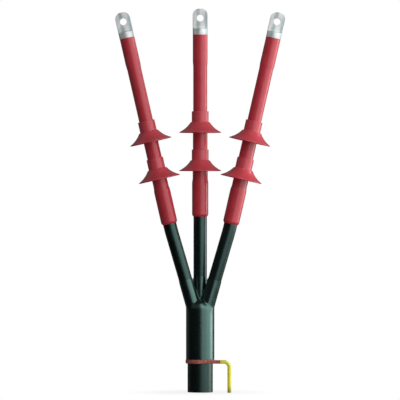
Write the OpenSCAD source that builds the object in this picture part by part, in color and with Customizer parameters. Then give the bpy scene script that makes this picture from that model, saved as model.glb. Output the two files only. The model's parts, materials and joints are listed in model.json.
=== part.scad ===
// Outdoor heat-shrink termination on a three-core medium-voltage cable.
// Millimetres. Z runs up the cable, the fan of cores lies across X, and Y points to the back.
// The origin is the centre of the cable's cut end.

/* [Cable] */
// Diameter of the round stranded conductor
conductor_d = 8; // [7:0.5:9]
// Insulation thickness on the conductor
insulation_wall = 3.7; // [3.2:0.1:4.2]
// Thickness of the semiconducting layer and its copper tape
screen_wall = 0.5; // [0.3:0.05:0.8]
// Space left between neighbouring cores where they are laid up
lay_gap = 0.4; // [0.2:0.1:1]
// Least thickness of filler outside a core
filler_wall = 0.5; // [0.3:0.1:1.2]
// Thickness of the outer sheath
sheath_wall = 1.85; // [1.5:0.05:2.6]
// Depth that the sheath is scraped where the band and the boot seal on it
sheath_scrape = 0.3; // [0.25:0.05:0.6]
// Height at which the sheath and the filler end, inside the boot
sheath_top = 96; // [80:1:102]

/* [Legs] */
// Height at which the outer cores turn outward
fork_height = 129; // [125:0.5:140]
// Lean of the outer cores above the boot, in degrees
fork_angle = 16.3; // [15.5:0.1:18]
// Bend radius of the outer cores inside the boot
fork_bend_r = 150; // [120:5:160]
// Height above the fork at which the outer legs straighten a little
elbow_rise = 131; // [120:1:150]
// Lean of the outer legs above the elbow, in degrees
head_angle = 12.9; // [11:0.1:14]
// Bend radius at the elbow
elbow_bend_r = 250; // [150:10:260]
// Distance from the elbow up to the foot of an outer red tube
foot_rise = 9.4; // [9:0.2:20]
// Height of the foot of the middle red tube above the fork
middle_rise = 151.8; // [135:0.2:170]

/* [Boot] */
// Thickness of the sealant between the boot and the sheath
seal_gap = 0.45; // [0.2:0.05:1]
// Thickness of the boot's wall
boot_wall = 2; // [1.6:0.1:3]
// Space between the earth band and the boot's lower edge
boot_gap = 0.2; // [0.1:0.1:2]
// Height above the fork at which the boot's shoulder starts to close in
shoulder_rise = 3; // [1:0.5:5]
// Radius of the rounded shoulder
shoulder_r = 16.5; // [14:0.5:18]
// Thickness of the boot between the fingers
crotch_wall = 4; // [3:0.5:6]
// Length of an outer finger, from the fork
outer_finger = 52.6; // [48:0.2:65]
// Length of the middle finger, from the fork
middle_finger = 60.6; // [50:0.2:75]
// Thickness of a finger at its lip
finger_lip = 0.6; // [0.4:0.1:1]
// Thickness of a finger at its root
finger_root = 1.2; // [1:0.1:1.8]

/* [Core sleeves] */
// Thickness of the black sleeve on a core
sleeve_wall = 2.55; // [2:0.05:2.8]
// Height of the sleeves' lower ends above the fork, inside the fingers
sleeve_start = 33; // [30:0.5:40]
// Length of sleeve inside the red tube
sleeve_overlap = 52; // [40:1:56]

/* [Stress control] */
// Thickness of the stress control tube on the insulation
stress_wall = 1.6; // [1.2:0.1:2]
// Height of its upper end above the upper shed's rim
stress_rise = 2.7; // [-20:0.1:4]
// Height above the red tube's foot at which the core screen ends
screen_top = 80; // [65:1:110]

/* [Red tubes] */
// Length of the red tube on an outer core
outer_tube_length = 305; // [260:1:400]
// Length of the red tube on the middle core
middle_tube_length = 291.5; // [260:0.5:400]
// Wall over the black sleeve
foot_wall = 2.3; // [1.6:0.1:3]
// Reach of the wide foot past the end of the sleeve
foot_reach = 3; // [2:0.5:6]
// Height of the rounding at the foot
foot_round = 4.8; // [3.2:0.2:8]
// Height over which the tube closes in above the foot
foot_taper = 4.8; // [2:0.2:8]
// Wall over the stress control tube, below the lower shed
low_wall = 2.8; // [2:0.05:3.2]
// Wall over the stress control tube, between the sheds
mid_wall = 2.4; // [1.6:0.05:2.8]
// Wall over the bare insulation
top_wall = 3.5; // [2.6:0.1:4]
// Wall over the lug's seal
head_wall = 2.4; // [2:0.1:3]

/* [Sheds] */
// Height of the lower shed's rim above the tube's foot
lower_rim = 73; // [68:0.5:90]
// Distance between the rims of the two sheds
shed_pitch = 61.3; // [50:0.1:80]
// Radius of the rim
rim_r = 33.4; // [30:0.2:38]
// Thickness of the lip at the rim
rim_lip = 1.3; // [1:0.1:2]
// Height of the skirt
skirt_height = 17.3; // [16:0.1:20]
// Step from the collar out to the top of the skirt
skirt_ledge = 1.8; // [1.5:0.1:3]
// Radius of the hollow curve down the skirt
skirt_curve_r = 41.5; // [38:0.5:60]
// Thickness of the skirt
skirt_wall = 1.8; // [1.4:0.1:2.2]
// Thickness of the shed at the top of the hollow under the skirt
skirt_roof = 3.1; // [2.5:0.1:5]
// Height of the collar above the skirt
collar_height = 17.2; // [12:0.2:22]
// Thickness of the lower shed's collar
collar_wall = 1.8; // [1.2:0.1:2.2]
// Chamfer round the top of the collar
collar_chamfer = 0.6; // [0.2:0.1:1]

/* [Lugs] */
// Thickness of the lug's barrel
barrel_wall = 4; // [3.5:0.1:4.5]
// Length of the barrel inside the red tube
barrel_length = 44; // [42:1:60]
// Depth of the barrel's blind bore
barrel_bore = 40; // [30:1:41]
// Bare conductor between the insulation and the barrel
bare_length = 6; // [4:0.5:10]
// Thickness of the seal round the barrel
seal_wall = 1.45; // [1:0.05:2]
// Step of the seal's lower end outside the insulation
seal_step = 0.6; // [0.4:0.1:1]
// How far the neck stands out past the red tube
neck_over = 0.15; // [0.1:0.05:1]
// Height of the neck
neck_height = 9.4; // [6:0.2:16]
// Height of the palm above the neck
palm_height = 32.3; // [28:0.1:40]
// Thickness of the palm
palm_thickness = 7; // [5:0.5:10]
// Radius of the palm's top corners
palm_corner_r = 10.4; // [4:0.2:11]
// Radius of the scoop between the palm and the neck
palm_scoop_r = 4; // [2:0.5:6]
// Diameter of the stud hole
stud_hole_d = 11; // [8.4:0.1:13]
// Distance from the top of the palm down to the stud hole
stud_drop = 15; // [12:0.5:18]

/* [Earth] */
// Height of the band's lower edge
band_foot = 46; // [40:0.2:50]
// Height of the band
band_height = 6.5; // [6:0.1:9]
// Thickness of the band
band_thickness = 3.5; // [2.5:0.05:4.5]
// Rounding of the band's edges
band_round = 1.4; // [0.6:0.1:1.6]
// How much smaller the band's free end is on each of its four sides
tail_inset = 0.3; // [0.2:0.05:0.8]
// Length of the free end, from the cable's axis
tail_length = 32; // [28:0.5:36]
// Outside diameter of the earth lead
lead_d = 6; // [5:0.1:7]

/* [Hidden] */
LEGS = ["left", "middle", "right"];
LEG_PARTS = ["conductor", "insulation", "screen", "core_sleeve", "stress_tube", "track_tube",
             "lower_shed", "upper_shed", "lug", "lug_seal"];

$fn = 72;
// Points on each rounded stretch of an outline
arc_steps = 8;
// Least flat left between two rounded edges of a bar
bar_flat = 0.1;
// Length that a cutting shape runs on past the face that it opens
past = 1;
// Overlap of a straight length into a bend, and the swell of the core that hides it
bend_lap = 1;
bend_swell = 0.05;

conductor_r = conductor_d / 2;
insulation_r = conductor_r + insulation_wall;
screen_r = insulation_r + screen_wall;
sleeve_r = screen_r + sleeve_wall;
stress_r = insulation_r + stress_wall;

lay_pitch = 2 * screen_r + lay_gap;
lay_r = lay_pitch / sqrt(3);
filler_r = lay_r + screen_r + filler_wall;
sheath_r = filler_r + sheath_wall;
scraped_r = sheath_r - sheath_scrape;

boot_bore_r = sheath_r + seal_gap;
boot_r = boot_bore_r + boot_wall;
boot_foot = band_foot + band_height + boot_gap;
boot_top = fork_height + shoulder_rise + shoulder_r;

fork_tangent = fork_bend_r * tan(fork_angle / 2);
elbow_angle = fork_angle - head_angle;
elbow_tangent = elbow_bend_r * tan(elbow_angle / 2);
slant = elbow_rise / cos(fork_angle);
middle_foot = fork_height + middle_rise;

foot_r = sleeve_r + foot_wall;
foot_length = sleeve_overlap + foot_reach;
low_r = stress_r + low_wall;
mid_r = stress_r + mid_wall;
top_r = insulation_r + top_wall;
barrel_r = conductor_r + barrel_wall;
seal_r = barrel_r + seal_wall;
head_r = seal_r + head_wall;
neck_r = head_r + neck_over;
seal_length = barrel_length + bare_length;
upper_rim = lower_rim + shed_pitch;
stress_top = upper_rim + stress_rise;
collar_r = mid_r + collar_wall;
skirt_hollow = skirt_height - skirt_roof;
// The tube narrows in the hollow under each skirt, over this height above the rim
step_start = 4;
step_end = 8;

// The lead leaves the band's free end, turns down beside the cable and stops level with its end
lead_y = -(scraped_r + band_thickness / 2);
lead_route = [[32, 49.25], [35, 49.25], [38, 49.25], [40, 48.95], [42, 48.15], [43.9, 46.7], [45.4, 44.8],
              [46.2, 42.6], [46.5, 40.2], [46.5, 37], [46.5, 30], [46.5, 22], [46.5, 14], [46.5, 7],
              [46.5, 0]];
lead_sides = 12;

black = [0.06, 0.07, 0.08];
brick_red = [0.66, 0.24, 0.29];
copper = [0.52, 0.22, 0.18];
ivory = [0.9, 0.88, 0.8];
grey = [0.35, 0.36, 0.37];
silver = [0.8, 0.82, 0.8];
amber = [0.55, 0.42, 0.12];
yellow = [0.8, 0.76, 0.25];

function tube_length(leg) = leg == "middle" ? middle_tube_length : outer_tube_length;

// Points on an arc in a profile, from angle a to angle b
function arc(centre, r, a, b) =
    [for (i = [0:arc_steps])
        let (angle = a + (b - a) * i / arc_steps)
        centre + r * [cos(angle), sin(angle)]];

// Outline of a bar with rounded edges, which leave a flat on each side
function bar_outline(w, h, edge_r) = let (r = min(edge_r, (w - bar_flat) / 2)) concat(
    arc([w / 2 - r, h / 2 - r], r, 0, 90), arc([r - w / 2, h / 2 - r], r, 90, 180),
    arc([r - w / 2, r - h / 2], r, 180, 270), arc([w / 2 - r, r - h / 2], r, 270, 360));

// Places along a leg

module leg_place(leg) {
    if (leg == "middle")
        translate([0, lay_r, 0]) children();
    else if (leg == "right")
        translate([lay_pitch / 2, -lay_r / 2, 0]) children();
    else
        translate([-lay_pitch / 2, -lay_r / 2, 0]) mirror([1, 0, 0]) children();
}

module fork_place() {
    translate([0, 0, fork_height]) rotate([0, fork_angle, 0]) children();
}

module elbow_place() {
    fork_place() translate([0, 0, slant]) rotate([0, -elbow_angle, 0]) children();
}

// The foot of a leg's red tube
module foot_place(leg) {
    leg_place(leg)
        if (leg == "middle")
            translate([0, 0, middle_foot]) children();
        else
            elbow_place() translate([0, 0, foot_rise]) children();
}

// Lengths of a leg

module straight(r, from, to) {
    translate([0, 0, from]) cylinder(h = to - from, r = r);
}

// A bend that starts upward at the origin and turns toward +X
module bend(bend_r, angle, r) {
    translate([bend_r, 0, 0]) rotate([90, 0, 0]) mirror([1, 0, 0])
        rotate_extrude(angle = angle) translate([bend_r, 0]) circle(r + bend_swell);
}

// The slanted length from a distance above the fork, the elbow, and the length above it
module outer_climb(r, from, top) {
    fork_place() straight(r, from, slant - elbow_tangent + bend_lap);
    fork_place() translate([0, 0, slant - elbow_tangent]) mirror([1, 0, 0])
        bend(elbow_bend_r, elbow_angle, r);
    elbow_place() straight(r, elbow_tangent - bend_lap, foot_rise + top);
}

// A core from a height in the cable up to a height above the red tube's foot
module core_run(leg, r, from, top) {
    leg_place(leg)
        if (leg == "middle")
            straight(r, from, middle_foot + top);
        else {
            straight(r, from, fork_height - fork_tangent + bend_lap);
            translate([0, 0, fork_height - fork_tangent]) bend(fork_bend_r, fork_angle, r);
            outer_climb(r, fork_tangent - bend_lap, top);
        }
}

// A sleeve's length of a leg, longer by some amount at both ends
module sleeve_run(leg, r, more) {
    leg_place(leg)
        if (leg == "middle")
            straight(r, fork_height + sleeve_start - more, middle_foot + sleeve_overlap + more);
        else
            outer_climb(r, sleeve_start / cos(fork_angle) - more, sleeve_overlap + more);
}

module core_layer(leg, outer_r, inner_r, top) {
    difference() {
        core_run(leg, outer_r, 0, top);
        core_run(leg, inner_r, -past, top + past);
    }
}

module ring(outer_r, inner_r, from, to) {
    difference() {
        straight(outer_r, from, to);
        straight(inner_r, from - past, to + past);
    }
}

// The cable

module cable_sheath() {
    color(black) rotate_extrude()
        polygon([[filler_r, 0], [sheath_r, 0], [sheath_r, band_foot], [scraped_r, band_foot],
                 [scraped_r, sheath_top], [filler_r, sheath_top]]);
}

module cable_filler() {
    color(grey) difference() {
        straight(filler_r, 0, sheath_top);
        for (leg = LEGS)
            leg_place(leg) straight(screen_r, -past, sheath_top + past);
    }
}

module conductor(leg) {
    color(silver) core_run(leg, conductor_r, 0, tube_length(leg) - barrel_length + barrel_bore);
}

module insulation(leg) {
    color(ivory) core_layer(leg, insulation_r, conductor_r, tube_length(leg) - seal_length);
}

module screen(leg) {
    color(copper) core_layer(leg, screen_r, insulation_r, screen_top);
}

module core_sleeve(leg) {
    color(black) difference() {
        sleeve_run(leg, sleeve_r, 0);
        sleeve_run(leg, screen_r, past);
    }
}

// The boot

// Half outline of a round body whose top edge is rounded
module domed_outline(r, round_r, from, top) {
    polygon(concat([[0, from], [r, from]], arc([r - round_r, top - round_r], round_r, 0, 90), [[0, top]]));
}

module boot_cavity(from) {
    rotate_extrude()
        domed_outline(boot_bore_r, shoulder_r - boot_wall, from, boot_top - crotch_wall);
}

module finger(height) {
    cylinder(h = height, r1 = sleeve_r + finger_root, r2 = sleeve_r + finger_lip);
}

module breakout_boot() {
    color(black) difference() {
        union() {
            rotate_extrude() domed_outline(boot_r, shoulder_r, boot_foot, boot_top);
            leg_place("middle") translate([0, 0, fork_height]) finger(middle_finger);
            for (leg = ["left", "right"])
                leg_place(leg) fork_place() finger(outer_finger);
        }
        boot_cavity(boot_foot - past);
        for (leg = LEGS) {
            core_run(leg, screen_r, sheath_top, 0);
            sleeve_run(leg, sleeve_r, 0);
        }
    }
}

module boot_seal() {
    color(amber) ring(boot_bore_r, scraped_r, boot_foot, sheath_top);
}

module crotch_mastic() {
    color(amber) difference() {
        boot_cavity(sheath_top);
        for (leg = LEGS)
            core_run(leg, screen_r, sheath_top - past, 0);
    }
}

// The red tubes and what they cover

module stress_tube(leg) {
    color(grey) foot_place(leg) rotate_extrude()
        polygon([[screen_r, sleeve_overlap], [stress_r, sleeve_overlap], [stress_r, stress_top],
                 [insulation_r, stress_top], [insulation_r, screen_top], [screen_r, screen_top]]);
}

// The foot is rounded by an arc that leaves the outside smoothly and ends at the bore
module track_tube(leg) {
    length = tube_length(leg);
    barrel_end = length - barrel_length;
    seal_end = length - seal_length;
    round_r = (foot_round ^ 2 + foot_wall ^ 2) / (2 * foot_wall);
    color(brick_red) foot_place(leg) rotate_extrude()
        polygon(concat(
            arc([foot_r - round_r, foot_round], round_r, -asin(foot_round / round_r), 0),
            [[foot_r, foot_length], [low_r, foot_length + foot_taper],
             [low_r, lower_rim + step_start], [mid_r, lower_rim + step_end],
             [mid_r, upper_rim + step_start], [top_r, upper_rim + step_end],
             [top_r, seal_end], [head_r, barrel_end], [head_r, length],
             [seal_r, length], [seal_r, barrel_end], [insulation_r + seal_step, seal_end],
             [insulation_r, seal_end], [insulation_r, stress_top], [stress_r, stress_top],
             [stress_r, sleeve_overlap], [sleeve_r, sleeve_overlap]]));
}

// A shed stands on its rim, with a hollow skirt below a collar that grips the tube
module shed(bore_r) {
    root = [collar_r + skirt_ledge, skirt_height];
    lip = [rim_r, rim_lip];
    chord = lip - root;
    across = [-chord[1], chord[0]] / norm(chord);
    centre = (root + lip) / 2 + across * sqrt(skirt_curve_r ^ 2 - (norm(chord) / 2) ^ 2);
    from_root = root - centre;
    from_lip = lip - centre;
    under_r = skirt_curve_r + skirt_wall;
    collar_top = skirt_height + collar_height;
    rotate_extrude()
        polygon(concat(
            [[bore_r, skirt_hollow]],
            arc(centre, under_r, asin((centre[1] - skirt_hollow) / under_r) + 180,
                asin(centre[1] / under_r) + 180),
            [[rim_r, 0]],
            arc(centre, skirt_curve_r, atan2(from_lip[1], from_lip[0]), atan2(from_root[1], from_root[0])),
            [[collar_r, skirt_height], [collar_r, collar_top - collar_chamfer],
             [collar_r - collar_chamfer, collar_top], [bore_r, collar_top]]));
}

module lower_shed(leg) {
    color(brick_red) foot_place(leg) translate([0, 0, lower_rim]) shed(mid_r);
}

module upper_shed(leg) {
    color(brick_red) foot_place(leg) translate([0, 0, upper_rim]) shed(top_r);
}

// The lugs

// Side view of the neck and palm, with a scoop on each face
function lug_side() = let (half = palm_thickness / 2, top = neck_height + palm_height,
                           hub = [half + palm_scoop_r, neck_height + palm_scoop_r],
                           scoop = arc(hub, palm_scoop_r, 270, 180))
    concat([[-neck_r, 0], [neck_r, 0], [neck_r, neck_height]], scoop, [[half, top], [-half, top]],
           [for (i = [arc_steps:-1:0]) [-scoop[i][0], scoop[i][1]]], [[-neck_r, neck_height]]);

// Front view of the neck and palm, with rounded top corners
function lug_front() = let (top = neck_height + palm_height, in = neck_r - palm_corner_r)
    concat([[-neck_r, 0], [neck_r, 0]], arc([in, top - palm_corner_r], palm_corner_r, 0, 90),
           arc([-in, top - palm_corner_r], palm_corner_r, 90, 180));

module lug(leg) {
    top = neck_height + palm_height;
    color(silver) foot_place(leg) translate([0, 0, tube_length(leg)]) difference() {
        union() {
            intersection() {
                straight(neck_r, 0, top);
                rotate([90, 0, 90]) translate([0, 0, -neck_r - past])
                    linear_extrude(2 * (neck_r + past)) polygon(lug_side());
                rotate([90, 0, 0]) translate([0, 0, -neck_r - past])
                    linear_extrude(2 * (neck_r + past)) polygon(lug_front());
            }
            straight(barrel_r, -barrel_length, past);
        }
        straight(conductor_r, -barrel_length - past, barrel_bore - barrel_length);
        translate([0, 0, top - stud_drop]) rotate([90, 0, 0])
            cylinder(h = 2 * neck_r, d = stud_hole_d, center = true);
    }
}

module lug_seal(leg) {
    color(amber) foot_place(leg) translate([0, 0, tube_length(leg)]) rotate_extrude()
        polygon([[conductor_r, -seal_length], [insulation_r + seal_step, -seal_length],
                 [seal_r, -barrel_length], [seal_r, 0], [barrel_r, 0], [barrel_r, -barrel_length],
                 [conductor_r, -barrel_length]]);
}

// The earth connection

module earth_band() {
    middle = band_foot + band_height / 2;
    color(copper) union() {
        translate([0, 0, middle]) rotate_extrude() translate([scraped_r + band_thickness / 2, 0])
            polygon(bar_outline(band_thickness, band_height, band_round));
        translate([past, lead_y, middle]) rotate([90, 0, 90]) linear_extrude(tail_length - past)
            polygon(bar_outline(band_thickness - 2 * tail_inset, band_height - 2 * tail_inset, band_round));
    }
}

// A round lead swept along its route
module earth_lead() {
    last = len(lead_route) - 1;
    rings = [for (i = [0:last])
        let (at = lead_route[i],
             ahead = lead_route[min(i + 1, last)] - lead_route[max(i - 1, 0)],
             lean = atan2(ahead[1], ahead[0]))
        for (j = [0:lead_sides - 1])
            let (a = 360 * j / lead_sides, out = lead_d / 2 * cos(a))
            [at[0] - out * sin(lean), lead_y + lead_d / 2 * sin(a), at[1] + out * cos(lean)]];
    walls = [for (i = [0:last - 1], j = [0:lead_sides - 1])
        let (a = i * lead_sides + j, b = i * lead_sides + (j + 1) % lead_sides)
        [a, b, b + lead_sides, a + lead_sides]];
    start = [for (j = [lead_sides - 1:-1:0]) j];
    end = [for (j = [0:lead_sides - 1]) last * lead_sides + j];
    color(yellow) polyhedron(points = rings, faces = concat([start, end], walls));
}

cable_sheath();
cable_filler();
breakout_boot();
boot_seal();
crotch_mastic();
earth_band();
earth_lead();
for (leg = LEGS) {
    conductor(leg);
    insulation(leg);
    screen(leg);
    core_sleeve(leg);
    stress_tube(leg);
    track_tube(leg);
    lower_shed(leg);
    upper_shed(leg);
    lug(leg);
    lug_seal(leg);
}
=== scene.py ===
# %% [markdown]
# A termination for a three-core medium-voltage cable. Three black cores leave a rubber boot, fan out
# and run into red tubes, which keep rain and creeping current off the insulation. The solids come from
# the frame. This lesson dresses them: the turned red pieces, the moulded boot, the lugs, the copper
# band and the yellow earth lead are modelled again with softer edges, and every surface gets its
# finish. Two small helpers come first: one shows data in the scene, the other turns an edited mesh into
# such data.

# %% Load the frame
import json
import math

import bmesh
import bpy
import numpy as np
from mathutils import Matrix, Vector


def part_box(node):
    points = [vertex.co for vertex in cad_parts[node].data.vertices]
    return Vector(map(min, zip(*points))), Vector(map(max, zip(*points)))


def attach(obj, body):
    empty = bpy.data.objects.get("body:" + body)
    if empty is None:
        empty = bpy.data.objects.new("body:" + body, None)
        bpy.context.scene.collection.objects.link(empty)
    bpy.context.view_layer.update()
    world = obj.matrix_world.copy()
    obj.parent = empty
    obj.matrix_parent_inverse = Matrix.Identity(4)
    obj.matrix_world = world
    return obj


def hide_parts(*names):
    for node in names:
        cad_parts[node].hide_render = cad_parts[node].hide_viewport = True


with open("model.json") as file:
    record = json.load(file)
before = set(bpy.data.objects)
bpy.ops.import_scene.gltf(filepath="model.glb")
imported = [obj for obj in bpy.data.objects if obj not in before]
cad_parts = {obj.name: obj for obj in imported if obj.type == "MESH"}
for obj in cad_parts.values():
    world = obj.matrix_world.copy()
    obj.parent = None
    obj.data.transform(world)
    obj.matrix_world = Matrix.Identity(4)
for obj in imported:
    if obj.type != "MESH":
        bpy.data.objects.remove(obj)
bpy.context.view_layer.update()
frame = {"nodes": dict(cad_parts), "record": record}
MM = 0.001
LEGS = ("left", "middle", "right")
print("nodes in the frame:", len(frame["nodes"]))


def placed(name, data):
    """A new object that shows some data in the scene."""
    made = bpy.data.objects.new(name, data)
    bpy.context.scene.collection.objects.link(made)
    return made


def as_mesh(bm, name):
    mesh = bpy.data.meshes.new(name)
    bm.to_mesh(mesh)
    bm.free()
    return mesh


# %% [markdown]
# The picture is taken from straight in front with a very long lens, so that the fan looks almost flat,
# as in a drawing. The width of the view at the object fixes how far back such a lens stands.

# %% Camera
LENS = 400
SENSOR = 36
VIEW_WIDTH = 640 * MM
VIEW_CENTRE = Vector((-0.3 * MM, 0, 307.5 * MM))

camera = placed("camera", bpy.data.cameras.new("camera"))
camera.data.lens = LENS
camera.data.sensor_width = SENSOR
camera.location = VIEW_CENTRE - Vector((0, VIEW_WIDTH * LENS / SENSOR, 0))
camera.rotation_euler = (math.radians(90), 0, 0)
bpy.context.scene.camera = camera
print("camera stands", round(-camera.location.y, 2), "m in front")

# %% [markdown]
# A finish starts from one shader. Most surfaces here are never one flat colour: slow clouds of noise
# mix two close colours, the same clouds make the gloss uneven, and fine noise raises a faint grain. The
# pattern follows a vector that each piece carries, or plain object coordinates where it has none.

# %% Helpers for finishes
COAT_ROUGHNESS = 0.18
CLOUD_RANGE = (0.3, 0.7)
MIX_SOCKETS = {"RGBA": (6, 7, 2), "FLOAT": (2, 3, 0)}


def shader_input(material, name):
    return material.node_tree.nodes["Principled BSDF"].inputs[name]


def new_finish(name, metallic=0.0, specular=0.5, specular_tint=(1, 1, 1), ior=1.5, coat=0.0):
    material = bpy.data.materials.new(name)
    material.use_nodes = True
    settings = {"Metallic": metallic, "Specular IOR Level": specular, "Specular Tint": (*specular_tint, 1),
                "IOR": ior, "Coat Weight": coat, "Coat Roughness": COAT_ROUGHNESS}
    for socket, value in settings.items():
        shader_input(material, socket).default_value = value
    return material


def node(owner, kind, **settings):
    made = owner.node_tree.nodes.new("ShaderNode" + kind)
    for name, value in settings.items():
        setattr(made, name, value)
    return made


def link(owner, source, target):
    owner.node_tree.links.new(source, target)


def feed(owner, socket, value):
    """Links a socket to another one, or sets it to a plain value."""
    if isinstance(value, bpy.types.NodeSocket):
        link(owner, value, socket)
    else:
        socket.default_value = value


def combined(owner, operation, a, b):
    made = node(owner, "Math", operation=operation)
    feed(owner, made.inputs[0], a)
    feed(owner, made.inputs[1], b)
    return made.outputs[0]


def mixed(owner, kind, share, a, b):
    """Mixes two numbers or two colours. The node has sockets of its own for each kind."""
    made = node(owner, "Mix", data_type=kind)
    first, second, result = MIX_SOCKETS[kind]
    for index, value in ((0, share), (first, a), (second, b)):
        feed(owner, made.inputs[index], value)
    return made.outputs[result]


def ramp(owner, value, start, end, low=0.0, high=1.0, kind="SMOOTHSTEP"):
    made = node(owner, "MapRange", interpolation_type=kind)
    for name, number in zip(("From Min", "From Max", "To Min", "To Max"), (start, end, low, high)):
        made.inputs[name].default_value = number
    link(owner, value, made.inputs["Value"])
    return made.outputs["Result"]


def noise(material, where, scale, stretch=(1, 1, 1), detail=4.0):
    """Noise with so many grains to a metre, stretched along an axis where the stretch is below 1."""
    mapping = node(material, "Mapping")
    mapping.inputs["Scale"].default_value = stretch
    link(material, where, mapping.inputs["Vector"])
    grains = node(material, "TexNoise")
    grains.inputs["Scale"].default_value = scale
    grains.inputs["Detail"].default_value = detail
    link(material, mapping.outputs["Vector"], grains.inputs["Vector"])
    return grains.outputs[0]


def place_on_piece(material, attribute=None):
    if attribute:
        return node(material, "Attribute", attribute_name=attribute).outputs["Vector"]
    return node(material, "TexCoord").outputs["Object"]


def clouded_colour(material, clouds, dark, light):
    share = ramp(material, clouds, *CLOUD_RANGE, kind="LINEAR")
    colour = mixed(material, "RGBA", share, (*dark, 1), (*light, 1))
    link(material, colour, shader_input(material, "Base Color"))


def clouded_gloss(material, clouds, smooth, rough):
    gloss = ramp(material, clouds, *CLOUD_RANGE, smooth, rough, kind="LINEAR")
    link(material, gloss, shader_input(material, "Roughness"))


def relief(material, heights, depth, strength=1.0):
    """Bump of a depth in metres. A second call stacks on the first."""
    bump = node(material, "Bump")
    bump.inputs["Strength"].default_value = strength
    bump.inputs["Distance"].default_value = depth
    link(material, heights, bump.inputs["Height"])
    normal = shader_input(material, "Normal")
    if normal.links:
        link(material, normal.links[0].from_socket, bump.inputs["Normal"])
    link(material, bump.outputs["Normal"], normal)


# %% [markdown]
# The red tubes are shrunk with a torch, which leaves a satin skin with faint lengthwise drag lines and
# slightly cloudy pigment. The sheds are moulded, of a slightly lighter red. The black parts are smooth
# polyethylene and rubber. Black takes little light itself, so its look is nearly all gloss: the boot is
# the shiniest, the sheath of the cable the dullest. Their gleam is a little green, which the tint
# gives.

# %% Finishes of the tubes, boot and sheath
UPRIGHT = "upright"
BLACK_DEEP = (0.0015, 0.002, 0.0022)
BLACK_PALE = (0.003, 0.0045, 0.0048)
GREEN_GLEAM = (0.55, 1, 0.9)


def track_red(name, dark, light):
    material = new_finish(name, specular=0.3, coat=0.6)
    where = place_on_piece(material, UPRIGHT)
    clouds = noise(material, where, scale=60, detail=3)
    clouded_colour(material, clouds, dark, light)
    clouded_gloss(material, clouds, smooth=0.36, rough=0.46)
    drag_lines = noise(material, where, scale=900, stretch=(1, 1, 0.04))
    relief(material, drag_lines, depth=0.02 * MM, strength=0.5)
    relief(material, noise(material, where, scale=2600), depth=0.008 * MM, strength=0.4)
    return material


def black_skin(name, smooth, rough, ior, grain):
    material = new_finish(name, specular=1.0, specular_tint=GREEN_GLEAM, ior=ior)
    where = place_on_piece(material)
    clouds = noise(material, where, scale=45, detail=3)
    clouded_colour(material, clouds, BLACK_DEEP, BLACK_PALE)
    clouded_gloss(material, clouds, smooth, rough)
    relief(material, noise(material, where, scale=grain), depth=0.006 * MM, strength=0.5)
    return material


RED = track_red("track_red", (0.54, 0.037, 0.054), (0.605, 0.045, 0.068))
SHED_RED = track_red("shed_red", (0.595, 0.06, 0.079), (0.67, 0.073, 0.099))
BOOT_BLACK = black_skin("boot_black", smooth=0.25, rough=0.31, ior=1.7, grain=1500)
SLEEVE_BLACK = black_skin("sleeve_black", smooth=0.3, rough=0.36, ior=1.5, grain=2200)
SHEATH_BLACK = black_skin("sheath_black", smooth=0.34, rough=0.4, ior=1.5, grain=1200)
print("finishes so far:", len(bpy.data.materials))

# %% [markdown]
# The metals: tinned lugs, with fine lines from drawing the tube they are made of and broad light and
# dark bands that are painted shade and highlight, an earth band braided from copper wires, and the bare
# strands in the lead. Braid is two sets of slanted wires that take turns on top, which two wave textures
# give when the higher of the two wins. The band carries a UV map in metres for it. The lead's yellow
# plastic turns a darker olive near its cut, which is painted shade.

# %% Finishes of the metals and the lead
# Painted shade and highlight: broad light and dark bands across each lug, this far apart.
PAINTED_BAND_PERIOD = 14 * MM
PAINTED_BAND_SHARE = 0.6
CLOUD_SHARE = 0.55
WAVE_TURN = 20
BRAID_WIRE = 0.7 * MM
BRAID_DEPTH = 0.25 * MM
BRAID_LEAN = math.radians(45)
# Painted shade: the lead turns a darker olive over this stretch above its cut end.
PAINTED_SHADE_OLIVE = (0.22, 0.24, 0.02)
PAINTED_SHADE_REACH = (-4 * MM, 17 * MM)


def waves_across(material, where, period, phase=0.0):
    """Soft stripes across X, up and down once in a period. At scale 1 they turn 20 radians in a unit."""
    wave = node(material, "TexWave", wave_type="BANDS", bands_direction="X")
    wave.inputs["Scale"].default_value = math.tau / (WAVE_TURN * period)
    wave.inputs["Phase Offset"].default_value = phase
    link(material, where, wave.inputs["Vector"])
    return wave.outputs["Fac"]


def tinned():
    material = new_finish("lug_metal", metallic=0.15)
    where = place_on_piece(material, UPRIGHT)
    clouds = noise(material, where, scale=120)
    # The bands are painted shade and highlight, as a rounded face would show them; the clouds are the tin's
    # own uneven tone.
    painted_bands = waves_across(material, where, PAINTED_BAND_PERIOD, phase=math.pi / 2)
    tone_and_painted_bands = combined(material, "ADD", combined(material, "MULTIPLY", painted_bands, PAINTED_BAND_SHARE),
                      combined(material, "MULTIPLY", clouds, CLOUD_SHARE))
    clouded_colour(material, tone_and_painted_bands, (0.5, 0.59, 0.61), (0.95, 0.98, 0.97))
    clouded_gloss(material, clouds, smooth=0.4, rough=0.5)
    fine_lines = noise(material, where, scale=2400, stretch=(1, 1, 0.03))
    relief(material, fine_lines, depth=0.02 * MM, strength=0.6)
    return material


def copper(name, dark, light):
    material = new_finish(name, metallic=0.4)
    clouds = noise(material, place_on_piece(material), scale=300)
    clouded_colour(material, clouds, dark, light)
    clouded_gloss(material, clouds, smooth=0.38, rough=0.5)
    return material


def braided(material):
    waves = []
    for lean in (BRAID_LEAN, -BRAID_LEAN):
        mapping = node(material, "Mapping")
        mapping.inputs["Rotation"].default_value = (0, 0, lean)
        link(material, node(material, "UVMap").outputs["UV"], mapping.inputs["Vector"])
        waves.append(waves_across(material, mapping.outputs["Vector"], BRAID_WIRE))
    relief(material, combined(material, "MAXIMUM", *waves), BRAID_DEPTH)
    return material


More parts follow.
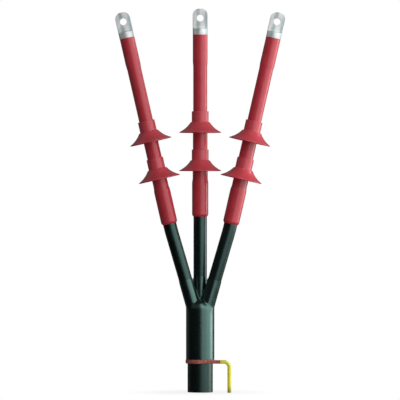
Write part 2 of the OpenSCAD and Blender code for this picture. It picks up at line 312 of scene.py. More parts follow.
def paint_shade_towards_end(material, where):
    """Paints shade: turns the colour to a darker olive in the last stretch above the floor."""
    base = shader_input(material, "Base Color")
    height = node(material, "SeparateXYZ")
    link(material, where, height.inputs["Vector"])
    unshaded = ramp(material, height.outputs["Z"], *PAINTED_SHADE_REACH)
    link(material, mixed(material, "RGBA", unshaded, (*PAINTED_SHADE_OLIVE, 1), base.links[0].from_socket), base)


def lead_plastic():
    material = new_finish("lead_yellow", specular=0.4)
    where = place_on_piece(material)
    clouds = noise(material, where, scale=90, detail=3)
    clouded_colour(material, clouds, (0.79, 0.74, 0.055), (0.91, 0.87, 0.085))
    # Painted shade: a darker olive towards the cut end.
    paint_shade_towards_end(material, where)
    clouded_gloss(material, clouds, smooth=0.3, rough=0.42)
    relief(material, noise(material, where, scale=1500), depth=0.03 * MM, strength=0.5)
    return material


TINNED = tinned()
EARTH_COPPER = braided(copper("earth_copper", (0.43, 0.108, 0.092), (0.73, 0.254, 0.21)))
STRAND_COPPER = copper("strand_copper", (0.4, 0.14, 0.07), (0.55, 0.22, 0.12))
LEAD_YELLOW = lead_plastic()

# %% [markdown]
# What lies inside is seen only at the cut end of the cable. Each layer still gets its own plain finish:
# drawn aluminium, ivory insulation, copper tape, grey filler and sticky amber mastic.

# %% Finishes of the hidden layers
def plain(name, dark, light, smooth, rough, grain, metallic=0.0):
    material = new_finish(name, metallic=metallic)
    where = place_on_piece(material)
    clouds = noise(material, where, scale=150, detail=3)
    clouded_colour(material, clouds, dark, light)
    clouded_gloss(material, clouds, smooth, rough)
    relief(material, noise(material, where, scale=grain), depth=0.03 * MM, strength=0.5)
    return material


HIDDEN = {
    "conductor": plain("conductor_metal", (0.55, 0.56, 0.57), (0.7, 0.71, 0.71), smooth=0.3, rough=0.45,
                       grain=1800, metallic=1.0),
    "insulation": plain("insulation_ivory", (0.72, 0.68, 0.55), (0.82, 0.78, 0.66), smooth=0.4, rough=0.5,
                        grain=900),
    "screen": plain("screen_copper", (0.38, 0.13, 0.07), (0.52, 0.2, 0.11), smooth=0.35, rough=0.5,
                    grain=1200, metallic=0.9),
    "stress_tube": plain("stress_grey", (0.03, 0.03, 0.032), (0.05, 0.05, 0.052), smooth=0.5, rough=0.6,
                         grain=1200),
    "lug_seal": plain("mastic", (0.2, 0.12, 0.02), (0.28, 0.18, 0.04), smooth=0.35, rough=0.5, grain=500),
}
SINGLE = {
    "cable_filler": plain("filler_grey", (0.12, 0.12, 0.125), (0.2, 0.2, 0.205), smooth=0.7, rough=0.85,
                          grain=1400),
    "boot_seal": HIDDEN["lug_seal"],
    "crotch_mastic": HIDDEN["lug_seal"],
}


def refinish(name, material):
    mesh = frame["nodes"][name].data
    mesh.materials.clear()
    mesh.materials.append(material)


for name, material in SINGLE.items():
    refinish(name, material)
for leg in LEGS:
    for layer, material in HIDDEN.items():
        refinish(f"{layer}_{leg}", material)
print("nodes kept with a new finish:", len(SINGLE) + len(LEGS) * len(HIDDEN))

# %% [markdown]
# Each red tube stands on an axis of its own. Two mounts on the lug, the stud hole and the flat at its
# back, give the direction of that axis, and the frame's tube gives where it starts and ends along it.
# So every leg piece is modelled upright at the origin, and one matrix then leans it into place.

# %% Find the legs' axes
mounts = {m["name"]: Vector(m["pos_m"]) for m in frame["record"]["mounts"]}


def leg_axis(leg):
    hole = mounts["stud_hole_" + leg]
    up = hole - mounts["palm_face_" + leg]
    up.y = 0
    up.normalize()
    heights = [(v.co - hole).dot(up) for v in frame["nodes"]["track_tube_" + leg].data.vertices]
    foot = hole + up * min(heights)
    lean = Matrix.Rotation(math.atan2(up.x, up.z), 4, "Y")
    return Matrix.Translation(foot) @ lean, max(heights) - min(heights)


LEG_PLACE = {}
TUBE_LENGTH = {}
for leg in LEGS:
    LEG_PLACE[leg], TUBE_LENGTH[leg] = leg_axis(leg)
    print(leg, "tube", round(TUBE_LENGTH[leg] / MM, 2), "mm, foot at", tuple(LEG_PLACE[leg].translation))

# %% [markdown]
# A turned piece is half an outline swept once round an axis: draw the outline, round its corners, spin
# it. The corners are rounded before the spin, by a bevel of the outline's points, because then each
# takes its own radius. A bevel needs a face to work in, so the outline is filled for a moment. A long
# wall then gets an extra point close to each of its ends, or the rounding beside it would bend the
# shading of the whole wall.

# %% Helpers for turned pieces
SMOOTH_ANGLE = math.radians(38)
MERGE = 0.0005
HOLD = 0.4
LONG_WALL = 3.2
ROUND_STEPS = 5
TUBE_SIDES = 96
RIM_SIDES = 128


def arc(centre, radius, start, end, steps):
    turns = [start + (end - start) * i / steps for i in range(steps + 1)]
    return [(centre[0] + radius * math.cos(t), centre[1] + radius * math.sin(t)) for t in turns]


def hold_ends(bm):
    for wall in [e for e in bm.edges if e.calc_length() > LONG_WALL * MM]:
        for end in wall.verts[:]:
            bmesh.utils.edge_split(wall, end, HOLD * MM / wall.calc_length())


def round_points(bm, points, size):
    bmesh.ops.bevel(bm, geom=points, offset=size * MM, affect="VERTICES", segments=ROUND_STEPS, profile=0.5,
                    material=-1)


def turned(outline, corners, sides):
    """Spins an outline of (radius, height) in millimetres. Corners pairs a point with its rounding."""
    bm = bmesh.new()
    points = [bm.verts.new((r * MM, 0, h * MM)) for r, h in outline]
    bm.faces.new(points)
    rounded = {outline.index(point): size for point, size in corners}
    for size in sorted(set(rounded.values())):
        round_points(bm, [points[i] for i in rounded if rounded[i] == size], size)
    hold_ends(bm)
    bmesh.ops.delete(bm, geom=bm.faces[:], context="FACES_ONLY")
    bmesh.ops.spin(bm, geom=bm.verts[:] + bm.edges[:], cent=(0, 0, 0), axis=(0, 0, 1),
                   angle=math.tau, steps=sides, use_merge=True)
    bmesh.ops.remove_doubles(bm, verts=bm.verts, dist=MERGE * MM)
    bmesh.ops.recalc_face_normals(bm, faces=bm.faces)
    return bm


def put_on_leg(bm, leg):
    """Keeps the upright place of every point for its finish, then leans the piece into the leg."""
    layer = bm.verts.layers.float_vector.new(UPRIGHT)
    for v in bm.verts:
        v[layer] = v.co
    bmesh.ops.transform(bm, matrix=LEG_PLACE[leg], verts=bm.verts)


def smooth_faces(bm):
    """Shades smooth over soft edges. Steep edges and the open ends of a skin stay crisp."""
    for face in bm.faces:
        face.smooth = True
    for edge in bm.edges:
        edge.smooth = edge.is_manifold and edge.calc_face_angle() < SMOOTH_ANGLE


def add_piece(name, bm, material, stands_for):
    smooth_faces(bm)
    piece = placed(name, as_mesh(bm, name))
    piece.data.materials.append(material)
    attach(piece, "root")
    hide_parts(stands_for)
    print(name, len(piece.data.polygons), "faces")
    return piece


def give_wall(piece, thickness):
    """Thickens an open skin inward."""
    wall = piece.modifiers.new("wall", "SOLIDIFY")
    wall.thickness = thickness * MM
    wall.offset = -1


# %% [markdown]
# The red tube is one length of heat-shrink tube. It takes the outline of what it covers: wide over the
# black sleeve, closing in over the stress control tube, narrowest over the bare insulation, and wide
# again over the barrel of the lug. A shrunk tube never steps sharply, so every change of width is a
# long soft curve.

# %% Red tubes
SLEEVE_R = 10.75
FOOT_R = 13.05
FOOT_ROUND = 4.8
FOOT_STEPS = 12
FOOT_TOP = 55
TAPER_TOP = 59.8
LOW_R = 12.1
MID_R = 11.7
TOP_R = 11.2
HEAD_R = 11.85
STRESS_R = 9.3
INSULATION_R = 7.7
SEAL_R = 9.45
SLEEVE_END = 52
STRESS_END = 137
RIMS = {"lower": 73, "upper": 134.3}
STEP_START = 4
STEP_END = 8
SEAL_LENGTH = 50
BARREL_LENGTH = 44
SHOULDER_ROUND = 1.8
HEAD_ROUND = 0.5


def red_tube(leg):
    length = TUBE_LENGTH[leg] / MM
    wall = FOOT_R - SLEEVE_R
    round_r = (FOOT_ROUND ** 2 + wall ** 2) / (2 * wall)
    foot = arc((FOOT_R - round_r, FOOT_ROUND), round_r, -math.asin(FOOT_ROUND / round_r), 0, FOOT_STEPS)
    shoulders = [(FOOT_R, FOOT_TOP), (LOW_R, TAPER_TOP),
                 (LOW_R, RIMS["lower"] + STEP_START), (MID_R, RIMS["lower"] + STEP_END),
                 (MID_R, RIMS["upper"] + STEP_START), (TOP_R, RIMS["upper"] + STEP_END),
                 (TOP_R, length - SEAL_LENGTH), (HEAD_R, length - BARREL_LENGTH)]
    end = [(HEAD_R, length), (SEAL_R, length)]
    bore = [(SEAL_R, length - BARREL_LENGTH), (INSULATION_R, length - SEAL_LENGTH),
            (INSULATION_R, STRESS_END), (STRESS_R, STRESS_END),
            (STRESS_R, SLEEVE_END), (SLEEVE_R, SLEEVE_END)]
    corners = [(point, SHOULDER_ROUND) for point in shoulders] + [(end[0], HEAD_ROUND)]
    bm = turned(foot + shoulders + end + bore, corners, TUBE_SIDES)
    put_on_leg(bm, leg)
    add_piece("red_tube_" + leg, bm, RED, "track_tube_" + leg)


for leg in LEGS:
    red_tube(leg)

# %% [markdown]
# The sheds are moulded rain skirts that slide over the tube. A hollow curve runs down from the collar
# to a thin lip, and the underside follows it at an even wall. The curve is an arc whose centre lies
# outside, above the skirt, so that water leaves at the rim.

# %% Rain sheds
COLLAR_R = 13.5
COLLAR_HEIGHT = 17.2
SKIRT_HEIGHT = 17.3
SKIRT_ROOT_R = 15.3
SKIRT_CURVE_R = 41.5
SKIRT_STEPS = 16
SKIRT_WALL = 1.8
SKIRT_HOLLOW = 14.2
RIM_R = 33.4
RIM_LIP = 1.3
RIM_ROUND = 0.55
LIP_ROUND = 0.4
ROOT_ROUND = 0.9
COLLAR_ROUND = 0.6


def shed_outline(bore_r):
    root = Vector((SKIRT_ROOT_R, SKIRT_HEIGHT))
    lip = Vector((RIM_R, RIM_LIP))
    chord = lip - root
    across = Vector((-chord.y, chord.x)).normalized()
    centre = (root + lip) / 2 + across * math.sqrt(SKIRT_CURVE_R ** 2 - chord.length_squared / 4)
    under_r = SKIRT_CURVE_R + SKIRT_WALL
    top = SKIRT_HEIGHT + COLLAR_HEIGHT
    under = arc(centre, under_r, math.asin((centre.y - SKIRT_HOLLOW) / under_r) + math.pi,
                math.asin(centre.y / under_r) + math.pi, SKIRT_STEPS)
    skirt = arc(centre, SKIRT_CURVE_R, math.atan2(lip.y - centre.y, lip.x - centre.x),
                math.atan2(root.y - centre.y, root.x - centre.x), SKIRT_STEPS)
    collar = [(COLLAR_R, SKIRT_HEIGHT), (COLLAR_R, top), (bore_r, top)]
    outline = [(bore_r, SKIRT_HOLLOW)] + under + [(RIM_R, 0)] + skirt + collar
    corners = [((RIM_R, 0), RIM_ROUND), (skirt[0], LIP_ROUND), (skirt[-1], ROOT_ROUND),
               (collar[0], ROOT_ROUND), (collar[1], COLLAR_ROUND)]
    return outline, corners


def shed(leg, height, bore_r):
    bm = turned(*shed_outline(bore_r), RIM_SIDES)
    bmesh.ops.translate(bm, verts=bm.verts, vec=(0, 0, RIMS[height] * MM))
    put_on_leg(bm, leg)
    add_piece(f"{height}_rain_shed_{leg}", bm, SHED_RED, f"{height}_shed_{leg}")


for leg in LEGS:
    shed(leg, "lower", MID_R)
    shed(leg, "upper", TOP_R)

# %% [markdown]
# A lug is drawn tube, pressed flat at one end and drilled for a stud. Its form in the frame is right,
# but its edges are knife sharp, and a real edge always catches a line of light. So a copy of the
# frame's mesh is merged, its flat faces are joined up again, the chords of the palm's round corners are
# split and set on the true arc, and every sharp edge gets a small bevel.

# %% Lugs
LUG_MERGE = 0.002
FLAT_ANGLE = math.radians(0.5)
SHARP_ANGLE = math.radians(32)
EDGE_BREAK = 0.45
EDGE_STEPS = 3
LUG_R = 12
LUG_HEIGHT = 41.7
PALM_CORNER_R = 10.4
CHORD_DEPTH = 0.1
CHORD_CUTS = 3


def round_corners(bm, top):
    """Splits the chords of both top corners of an upright lug and moves the new points out to the arc."""
    inset = (LUG_R - PALM_CORNER_R) * MM
    centre_height = top - PALM_CORNER_R * MM

    def from_centre(v):
        return Vector((abs(v.co.x) - inset, v.co.z - centre_height))

    def on_arc(v):
        arm = from_centre(v)
        return min(arm) > -CHORD_DEPTH * MM and abs(arm.length - PALM_CORNER_R * MM) < CHORD_DEPTH * MM

    chords = [e for e in bm.edges if all(on_arc(v) for v in e.verts)
              and abs(e.verts[0].co.y - e.verts[1].co.y) < CHORD_DEPTH * MM]
    bmesh.ops.subdivide_edges(bm, edges=chords, cuts=CHORD_CUTS, use_grid_fill=True)
    for v in [v for v in bm.verts if on_arc(v)]:
        arm = from_centre(v).normalized() * PALM_CORNER_R * MM
        v.co.x = math.copysign(inset + arm.x, v.co.x)
        v.co.z = centre_height + arm.y
    print("chords split on a lug:", len(chords))


def lug(leg):
    bm = bmesh.new()
    bm.from_mesh(frame["nodes"]["lug_" + leg].data)
    bmesh.ops.remove_doubles(bm, verts=bm.verts, dist=LUG_MERGE * MM)
    bmesh.ops.dissolve_limit(bm, angle_limit=FLAT_ANGLE, verts=bm.verts[:], edges=bm.edges[:])
    bmesh.ops.transform(bm, matrix=LEG_PLACE[leg].inverted(), verts=bm.verts)
    round_corners(bm, TUBE_LENGTH[leg] + LUG_HEIGHT * MM)
    sharp = [e for e in bm.edges if e.is_manifold and e.calc_face_angle() > SHARP_ANGLE]
    bmesh.ops.bevel(bm, geom=sharp, offset=EDGE_BREAK * MM, affect="EDGES", segments=EDGE_STEPS,
                    profile=0.5, material=-1, clamp_overlap=True)
    put_on_leg(bm, leg)
    add_piece("tinned_lug_" + leg, bm, TINNED, "lug_" + leg)


for leg in LEGS:
    lug(leg)

# %% [markdown]
# The boot is one moulded rubber piece: a domed body that runs into three fingers with soft creases
# between. Such a blend is hard to draw face by face. Here plain turned shapes are joined by a voxel
# remesh, which gives an even skin, and the points are then pulled onto a blended form that a short
# formula describes: the distance to the body and to each finger, mixed softly where two of them are
# close. Smoothing and pulling take turns, so that the points end up evenly spaced.

# %% Boot
FORK_HEIGHT = 129
FORK_LEAN = math.radians(16.3)
CORE_SPREAD = 8.4
CORE_LAY = 9.6995
BOOT_R = 22.6995
BOOT_TOP = 148.5
SHOULDER_R = 16.5
FINGER_ROOT = 1.2
FINGER_LIP = 0.6
OUTER_FINGER = 52.6
MIDDLE_FINGER = 60.6
FINGERS = {"left": (-CORE_SPREAD, -CORE_LAY / 2, -FORK_LEAN, OUTER_FINGER),
           "middle": (0, CORE_LAY, 0, MIDDLE_FINGER),
           "right": (CORE_SPREAD, -CORE_LAY / 2, FORK_LEAN, OUTER_FINGER)}
BOOT_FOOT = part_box("breakout_boot")[0].z / MM
CREASE = 1.9
SPARE = 6
SPARE_LEFT = 2
BODY_SIDES = 72
FINGER_SIDES = 48
SKIN_STEP = 0.8
SKIN_ROUNDS = 3
SKIN_EASE = 0.5
SKIN_WALL = 0.5
PULLS = 6
SLOPE_STEP = 0.02
SLOPE_FLOOR = 0.2


def finger_line(leg):
    x, y, lean, length = FINGERS[leg]
    return np.array((x, y, FORK_HEIGHT)), np.array((math.sin(lean), 0, math.cos(lean))), length


def soft_least(a, b):
    share = np.clip(0.5 + 0.5 * (b - a) / CREASE, 0, 1)
    return b + (a - b) * share - CREASE * share * (1 - share)


def boot_distance(points):
    """Distance in millimetres from the blended form of the boot, negative inside."""
    out = np.hypot(points[:, 0], points[:, 1]) - (BOOT_R - SHOULDER_R)
    up = points[:, 2] - (BOOT_TOP - SHOULDER_R)
    outside = np.hypot(np.maximum(out, 0), np.maximum(up, 0))
    near = outside + np.minimum(np.maximum(out, up), 0) - SHOULDER_R
    for leg in LEGS:
        root, along, length = finger_line(leg)
        height = np.maximum((points - root) @ along, 0)
        radius = SLEEVE_R + FINGER_ROOT + (FINGER_LIP - FINGER_ROOT) * height / length
        near = soft_least(near, np.linalg.norm(points - root - np.outer(height, along), axis=1) - radius)
    return near


def boot_slope(points):
    """How fast the distance grows along each axis, from a short step both ways."""
    steps = SLOPE_STEP * np.eye(3)
    growth = [boot_distance(points + step) - boot_distance(points - step) for step in steps]
    return np.stack(growth, axis=1) / (2 * SLOPE_STEP)


def pull_onto_form(points):
    for _ in range(PULLS):
        slope = boot_slope(points)
        steepness = np.maximum((slope ** 2).sum(axis=1), SLOPE_FLOOR)
        points = points - slope * (boot_distance(points) / steepness)[:, None]
    return points


def leaning(at, along):
    """The matrix that puts what stands upright at the origin on a place, along a direction."""
    lean = Vector((0, 0, 1)).rotation_difference(along).to_matrix().to_4x4()
    return Matrix.Translation(at * MM) @ lean


def rough_boot():
    """A round body and three fingers, all a little too long, so that they can be trimmed."""
    bm = bmesh.new()
    body_top = BOOT_TOP - SHOULDER_R / 2
    body_foot = BOOT_FOOT - SPARE
    bmesh.ops.create_cone(bm, cap_ends=True, segments=BODY_SIDES, radius1=BOOT_R * MM, radius2=BOOT_R * MM,
                          depth=(body_top - body_foot) * MM,
                          matrix=Matrix.Translation((0, 0, (body_top + body_foot) / 2 * MM)))
    for leg in LEGS:
        root, along, length = finger_line(leg)
        middle = Vector(root + along * (length + SPARE) / 2)
        bmesh.ops.create_cone(bm, cap_ends=True, segments=FINGER_SIDES,
                              radius1=(SLEEVE_R + FINGER_ROOT) * MM, radius2=(SLEEVE_R + FINGER_LIP) * MM,
                              depth=(length + SPARE) * MM, matrix=leaning(middle, Vector(along)))
    return bm


def remeshed(bm, step):
    rough = placed("rough", as_mesh(bm, "rough"))
    voxels = rough.modifiers.new("voxels", "REMESH")
    voxels.mode = "VOXEL"
    voxels.voxel_size = step * MM
    skin = bpy.data.meshes.new_from_object(rough.evaluated_get(bpy.context.evaluated_depsgraph_get()))
    bpy.data.objects.remove(rough)
    bm = bmesh.new()
    bm.from_mesh(skin)
    return bm


def trim(bm, at, away):
    """Cuts the skin by a plane and drops what lies beyond it."""
    bmesh.ops.bisect_plane(bm, geom=bm.verts[:] + bm.edges[:] + bm.faces[:], plane_co=Vector(at) * MM,
                           plane_no=away, clear_outer=True)


def boot():
    bm = remeshed(rough_boot(), SKIN_STEP)
    for _ in range(SKIN_ROUNDS):
        bmesh.ops.smooth_vert(bm, verts=bm.verts, factor=SKIN_EASE, use_axis_x=True, use_axis_y=True,
                              use_axis_z=True)
        points = pull_onto_form(np.array([v.co for v in bm.verts]) / MM) * MM
        for v, point in zip(bm.verts, points):
            v.co = point
    trim(bm, (0, 0, BOOT_FOOT), (0, 0, -1))
    for leg in LEGS:
        root, along, length = finger_line(leg)
        reach = length + SPARE_LEFT
        beyond = [f for f in bm.faces if (np.array(f.calc_center_median()) / MM - root) @ along > reach]
        bmesh.ops.delete(bm, geom=beyond, context="FACES")
        trim(bm, root + along * length, along)
    bmesh.ops.recalc_face_normals(bm, faces=bm.faces)
    piece = add_piece("moulded_boot", bm, BOOT_BLACK, "breakout_boot")
    give_wall(piece, SKIN_WALL)


boot()

# %% [markdown]
# A core sleeve is a plain tube on its core: straight out of the boot's finger, round a slight elbow and
# straight on into the red tube. A ring of points is drawn out along the slant, turned by small
# steps round the elbow's centre and drawn out again, much as a pipe bender works. Solidify then gives
# the tube its wall.

# %% Core sleeves
SLEEVE_START = 33
SLEEVE_WALL = 2.55
ELBOW_RISE = 131
ELBOW_R = 250
ELBOW_STEPS = 6
STRAIGHT = math.radians(0.1)


def drawn_ring(bm, ring):
    """Extrudes an open ring of edges. The new ring's points and edges come back, still in the old place."""
    made = bmesh.ops.extrude_edge_only(bm, edges=ring)["geom"]
    points = {g for g in made if isinstance(g, bmesh.types.BMVert)}
    return list(points), [e for e in bm.edges if points.issuperset(e.verts)]


def draw_out(bm, ring, way):
    points, ring = drawn_ring(bm, ring)
    bmesh.ops.translate(bm, verts=points, vec=way * MM)
    return ring


def round_elbow(bm, ring, at, along, turn):
    """Turns a ring round the elbow's centre in small steps. The place of its middle comes back too."""
    side = math.copysign(1, turn)
    centre = at + Vector((along.z, 0, -along.x)) * side * ELBOW_R
    step = Matrix.Rotation(turn / ELBOW_STEPS, 3, "Y")
    for _ in range(ELBOW_STEPS):
        points, ring = drawn_ring(bm, ring)
        bmesh.ops.rotate(bm, verts=points, cent=centre * MM, matrix=step)
        at = centre + step @ (at - centre)
    return ring, at


def core_sleeve(leg):
    root, along, _ = finger_line(leg)
    root, along = Vector(root), Vector(along)
    head = LEG_PLACE[leg].to_3x3() @ Vector((0, 0, 1))
    end = LEG_PLACE[leg].translation / MM + head * SLEEVE_END
    now = root + along * SLEEVE_START / along.z
    turn = math.atan2(head.x, head.z) - math.atan2(along.x, along.z)
    bm = bmesh.new()
    bmesh.ops.create_circle(bm, segments=TUBE_SIDES, radius=SLEEVE_R * MM, matrix=leaning(now, along))
    ring = bm.edges[:]
    if abs(turn) > STRAIGHT:
        bend_start = root + along * (ELBOW_RISE / along.z - ELBOW_R * math.tan(abs(turn) / 2))
        ring = draw_out(bm, ring, bend_start - now)
        ring, now = round_elbow(bm, ring, bend_start, along, turn)
    draw_out(bm, ring, end - now)
    bmesh.ops.recalc_face_normals(bm, faces=bm.faces)
    sleeve = add_piece("black_sleeve_" + leg, bm, SLEEVE_BLACK, "core_sleeve_" + leg)
    give_wall(sleeve, SLEEVE_WALL)


for leg in LEGS:
    core_sleeve(leg)

# %% [markdown]
# The sheath is the cable's own skin. It is turned like the red tubes, with the edge of its cut broken a
# little, and it is scraped thinner from the earth band upward, where the sealant has to grip.

# %% Sheath
SHEATH_R = 20.25
SCRAPED_R = 19.95
FILLER_R = 18.4
SHEATH_TOP = 96
CUT_BREAK = 0.5
SCRAPE_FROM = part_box("earth_band")[0].z / MM

sheath_outline = [(FILLER_R, 0), (SHEATH_R, 0), (SHEATH_R, SCRAPE_FROM), (SCRAPED_R, SCRAPE_FROM),
                  (SCRAPED_R, SHEATH_TOP), (FILLER_R, SHEATH_TOP)]
bm = turned(sheath_outline, [(sheath_outline[1], CUT_BREAK)], RIM_SIDES)
add_piece("cable_skin", bm, SHEATH_BLACK, "cable_sheath")

# %% [markdown]
# The earth connection is a copper braid that is wrapped once round the cable below the boot. Its free
# end runs off along the front. Both are the same bar with rounded edges: one is spun into a ring, the
# other drawn out straight. The braid follows a UV map laid along them, in metres.

# %% Earth band
BAND_LOW, BAND_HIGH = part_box("earth_band")
BAND_MIDDLE = (BAND_LOW.z + BAND_HIGH.z) / 2 / MM
BAND_HEIGHT = (BAND_HIGH.z - BAND_LOW.z) / MM
BAND_THICKNESS = 3.5
BAND_ROUND = 1.4
BAND_R = -BAND_LOW.y / MM - BAND_THICKNESS / 2
TAIL_INSET = 0.3
TAIL_START = 1
TAIL_END = BAND_HIGH.x / MM


def bar_outline(width, height):
    x, z = width / 2, height / 2
    return [(x, -z), (x, z), (-x, z), (-x, -z)]


def band_ring():
    outline = [(BAND_R + x, BAND_MIDDLE + z) for x, z in bar_outline(BAND_THICKNESS, BAND_HEIGHT)]
    return turned(outline, [(point, BAND_ROUND) for point in outline], RIM_SIDES)


def band_tail(bm):
    inset = 2 * TAIL_INSET
    outline = bar_outline(BAND_THICKNESS - inset, BAND_HEIGHT - inset)
    ring_faces = set(bm.faces)
    corners = [(TAIL_START, y - BAND_R, BAND_MIDDLE + z) for y, z in outline]
    points = [bm.verts.new(Vector(corner) * MM) for corner in corners]
    bm.faces.new(points)
    round_points(bm, points, BAND_ROUND)
    start = [f for f in bm.faces if f not in ring_faces]
    drawn = bmesh.ops.extrude_face_region(bm, geom=start, use_keep_orig=True)
    ends = [g for g in drawn["geom"] if isinstance(g, bmesh.types.BMVert)]
    bmesh.ops.translate(bm, verts=ends, vec=((TAIL_END - TAIL_START) * MM, 0, 0))
    return set(ends) | {v for f in start for v in f.verts}


def lay_braid(bm, straight):
    """Unrolls the ring by its angle and the free end by its length, both in metres."""
    layer = bm.loops.layers.uv.new("braid")
    for face in bm.faces:
        middle = face.calc_center_median()
        turn = math.atan2(middle.y, middle.x)
        for loop in face.loops:
            co = loop.vert.co
            if loop.vert in straight:
                loop[layer].uv = (co.x, co.z)
                continue
            own = math.atan2(co.y, co.x)
            own += math.tau * round((turn - own) / math.tau)
            loop[layer].uv = (own * BAND_R * MM, co.z + math.hypot(co.x, co.y))


bm = band_ring()
straight = band_tail(bm)
bmesh.ops.recalc_face_normals(bm, faces=bm.faces)
lay_braid(bm, straight)
add_piece("braided_band", bm, EARTH_COPPER, "earth_band")

# %% [markdown]
# The earth lead is a stiff insulated wire. It leaves the free end of the band, turns down beside the
# cable and is cut level with the end of the cable. A curve with a round bevel is the natural way to
# make it, and its points are those of the frame's own route. A few bare strands show where it is cut.

# %% Earth lead
LEAD_D = 6
LEAD_Y = -BAND_R
LEAD_ROUTE = [(32, 49.25), (35, 49.25), (38, 49.25), (40, 48.95), (42, 48.15), (43.9, 46.7), (45.4, 44.8),
              (46.2, 42.6), (46.5, 40.2), (46.5, 37), (46.5, 30), (46.5, 22), (46.5, 14), (46.5, 7),
              (46.5, 0)]
STRIPPED = 0.2
STRAND_D = 1.3
STRAND_PITCH = 1.36
STRAND_TUCK = 3
STRANDS = 6
STRAND_SIDES = 16


def lead():
    line = bpy.data.curves.new("earth_wire", "CURVE")
    line.dimensions = "3D"
    line.bevel_depth = LEAD_D / 2 * MM
    line.bevel_resolution = 8
    line.resolution_u = 6
    line.use_fill_caps = True
    spline = line.splines.new("BEZIER")
    spline.bezier_points.add(len(LEAD_ROUTE) - 1)
    for point, (x, z) in zip(spline.bezier_points, LEAD_ROUTE):
        point.co = (x * MM, LEAD_Y * MM, max(z, STRIPPED) * MM)
        point.handle_left_type = "AUTO"
        point.handle_right_type = "AUTO"
    line.materials.append(LEAD_YELLOW)
    wire = placed("earth_wire", line)
    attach(wire, "root")
    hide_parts("earth_lead")
    return wire


def bare_strands():
    bm = bmesh.new()
    x, foot = LEAD_ROUTE[-1]
    depth = STRIPPED + STRAND_TUCK
    turns = [i * math.tau / STRANDS for i in range(STRANDS)]
    ring = [(STRAND_PITCH * math.cos(t), STRAND_PITCH * math.sin(t)) for t in turns]
    for across, deep in [(0, 0)] + ring:
        middle = Vector((x + across, LEAD_Y + deep, foot + depth / 2)) * MM
        bmesh.ops.create_cone(bm, cap_ends=True, segments=STRAND_SIDES, radius1=STRAND_D / 2 * MM,
                              radius2=STRAND_D / 2 * MM, depth=depth * MM,
                              matrix=Matrix.Translation(middle))
    smooth_faces(bm)
    strands = placed("earth_wire_strands", as_mesh(bm, "earth_wire_strands"))
    strands.data.materials.append(STRAND_COPPER)
    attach(strands, "root")
    return strands


lead()
bare_strands()

# %% [markdown]
# The studio. On an upright round part a gleam stands where the surface points halfway between the
# camera and a panel. So four soft panels form a bow at the right, from beside the camera to a little
# behind the object, each brighter than the one before. Black parts get one broad upright gleam that
# ends sharply near their right edge, and red ones turn from dark at the left to light. The camera
# stands at an angle of 0 in the bow. One more panel hangs above it and lights what faces the camera,
# too high for an upright part to mirror.

# %% Lights
BOW_R = 1.6
PANEL_HEIGHT = 1.5
PANEL_MIDDLE = 0.65


def on_bow(degrees, height):
    turn = math.radians(degrees)
    return Vector((BOW_R * math.sin(turn), -BOW_R * math.cos(turn), height))


def panel(name, start, end, glow, height=PANEL_MIDDLE):
    """A panel between two angles of the bow. The power that a lamp needs grows with its area."""
    a, b = on_bow(start, height), on_bow(end, height)
    light = bpy.data.lights.new(name, "AREA")
    light.shape = "RECTANGLE"
    light.size, light.size_y = (b - a).length, PANEL_HEIGHT
    light.energy = glow * math.pi * light.size * light.size_y
    lamp = placed(name, light)
    lamp.location = (a + b) / 2
    lamp.rotation_euler = (Vector((0, 0, PANEL_MIDDLE)) - lamp.location).to_track_quat("-Z", "Y").to_euler()
    print(name, round(light.energy, 1), "W")


panel("edge_panel", start=3, end=14, glow=0.6)
panel("front_panel", start=14, end=50, glow=1.45)
panel("side_panel", start=50, end=90, glow=1.95)
panel("rim_panel", start=90, end=118, glow=3.9)
panel("high_panel", start=2, end=42, glow=1.5, height=1.9)

# %% [markdown]
# Light Path tells a shader who is looking. The camera sees plain white all round, while the light that
# the world gives stays dim. Reflections see a dark studio with a pale band high up and a dim wall
# behind the object, because black parts look black only where they mirror something dark. For the same
# reason the floor stays out of reflections. To the camera it is white, but near the object a share of
# its plain surface shows through, so that it still takes a shadow.

# %% World and floor
AMBIENT = 0.15
STUDIO_DARK = 0.015
FRIEZE = 0.15
FRIEZE_FOOT = (0.22, 0.42)
FRIEZE_HEAD = (0.75, 0.95)
BACK_WALL = 0.11
WALL_EDGE = (0.1, 0.45)
FLOOR_R = 0.15
FLOOR_SIDES = 96
FLOOR_DROP = 0.2
FLOOR_PALE = (0.9, 0.9, 0.9)
FLOOR_ROUGH = 0.9
WHITE_NEAR = 0.84
WHITE_REACH = (0.04, 0.135)


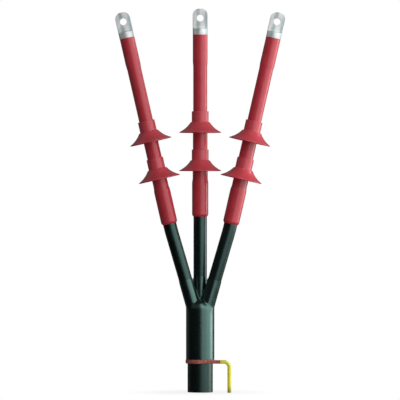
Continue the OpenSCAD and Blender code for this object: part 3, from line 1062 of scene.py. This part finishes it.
def seen_directly(owner):
    """1 where the camera, a reflection or glass looks, and 0 for the light that is given."""
    path = node(owner, "LightPath")
    shiny = combined(owner, "MAXIMUM", path.outputs["Is Glossy Ray"], path.outputs["Is Transmission Ray"])
    return combined(owner, "MAXIMUM", path.outputs["Is Camera Ray"], shiny)


def studio_world():
    world = bpy.data.worlds.new("studio")
    world.use_nodes = True
    bpy.context.scene.world = world
    way = node(world, "SeparateXYZ")
    link(world, node(world, "TexCoord").outputs["Generated"], way.inputs["Vector"])
    wall = ramp(world, way.outputs["Y"], *WALL_EDGE, STUDIO_DARK, BACK_WALL)
    frieze = combined(world, "MINIMUM", ramp(world, way.outputs["Z"], *FRIEZE_FOOT, STUDIO_DARK, FRIEZE),
                      ramp(world, way.outputs["Z"], *FRIEZE_HEAD, FRIEZE, STUDIO_DARK))
    room = combined(world, "MAXIMUM", wall, frieze)
    seen = combined(world, "MAXIMUM", room, node(world, "LightPath").outputs["Is Camera Ray"])
    background = world.node_tree.nodes["Background"]
    background.inputs["Color"].default_value = (1, 1, 1, 1)
    link(world, mixed(world, "FLOAT", seen_directly(world), AMBIENT, seen), background.inputs["Strength"])


def pale_floor():
    material = new_finish("floor")
    surface = material.node_tree.nodes["Principled BSDF"]
    surface.inputs["Base Color"].default_value = (*FLOOR_PALE, 1)
    surface.inputs["Roughness"].default_value = FLOOR_ROUGH
    distance = node(material, "VectorMath", operation="LENGTH")
    link(material, place_on_piece(material), distance.inputs[0])
    white = ramp(material, distance.outputs["Value"], *WHITE_REACH, low=WHITE_NEAR)
    mix = node(material, "MixShader")
    link(material, combined(material, "MULTIPLY", white, seen_directly(material)), mix.inputs[0])
    link(material, surface.outputs[0], mix.inputs[1])
    link(material, node(material, "Emission").outputs[0], mix.inputs[2])
    link(material, mix.outputs[0], material.node_tree.nodes["Material Output"].inputs["Surface"])
    bm = bmesh.new()
    bmesh.ops.create_circle(bm, cap_ends=True, segments=FLOOR_SIDES, radius=FLOOR_R,
                            matrix=Matrix.Translation((0, 0, -FLOOR_DROP * MM)))
    floor = placed("floor", as_mesh(bm, "floor"))
    floor.data.materials.append(material)
    floor.visible_glossy = False


studio_world()
pale_floor()
bpy.context.scene.view_settings.view_transform = "Standard"
